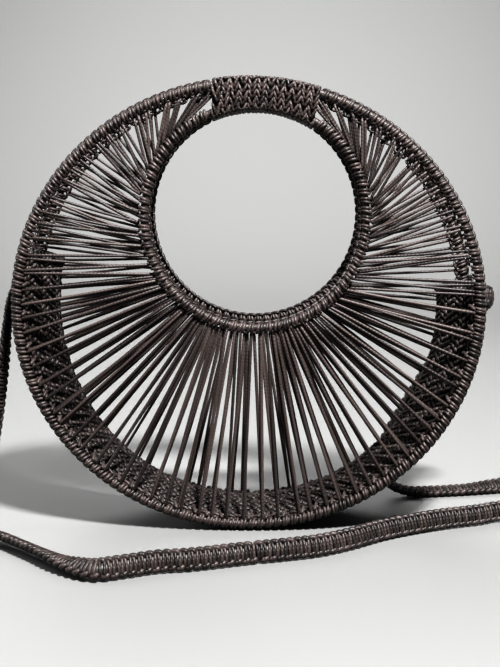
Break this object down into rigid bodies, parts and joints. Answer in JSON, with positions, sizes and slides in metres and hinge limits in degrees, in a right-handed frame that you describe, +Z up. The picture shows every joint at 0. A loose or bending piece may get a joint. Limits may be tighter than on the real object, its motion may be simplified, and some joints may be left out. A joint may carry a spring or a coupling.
{
  "type": "macrame handbag",
  "caption": "Round open-topped handbag of dark knotted cord: two crescent panels of radiating cords between covered hoops, a folded knotted gusset, a bound grip and a long flat knotted strap.",
  "frame": {"origin": "bottom centre of the bag without its strap, on the surface it stands on", "axes": "+Z up, front panel towards -Y, +X to the right seen from the front"},
  "size_m": [0.4274, 0.1747, 0.2696],
  "materials": {
    "cord": "waxed cord, soft sheen"
  },
  "bodies": {
    "root": {"front_outer_hoop": "cord", "back_outer_hoop": "cord", "front_inner_hoop": "cord", "back_inner_hoop": "cord", "front_spokes": "cord", "back_spokes": "cord", "gusset": "cord", "grip_wrap": "cord", "strap_left": "cord", "strap_right": "cord"}
  },
  "joints": []
}
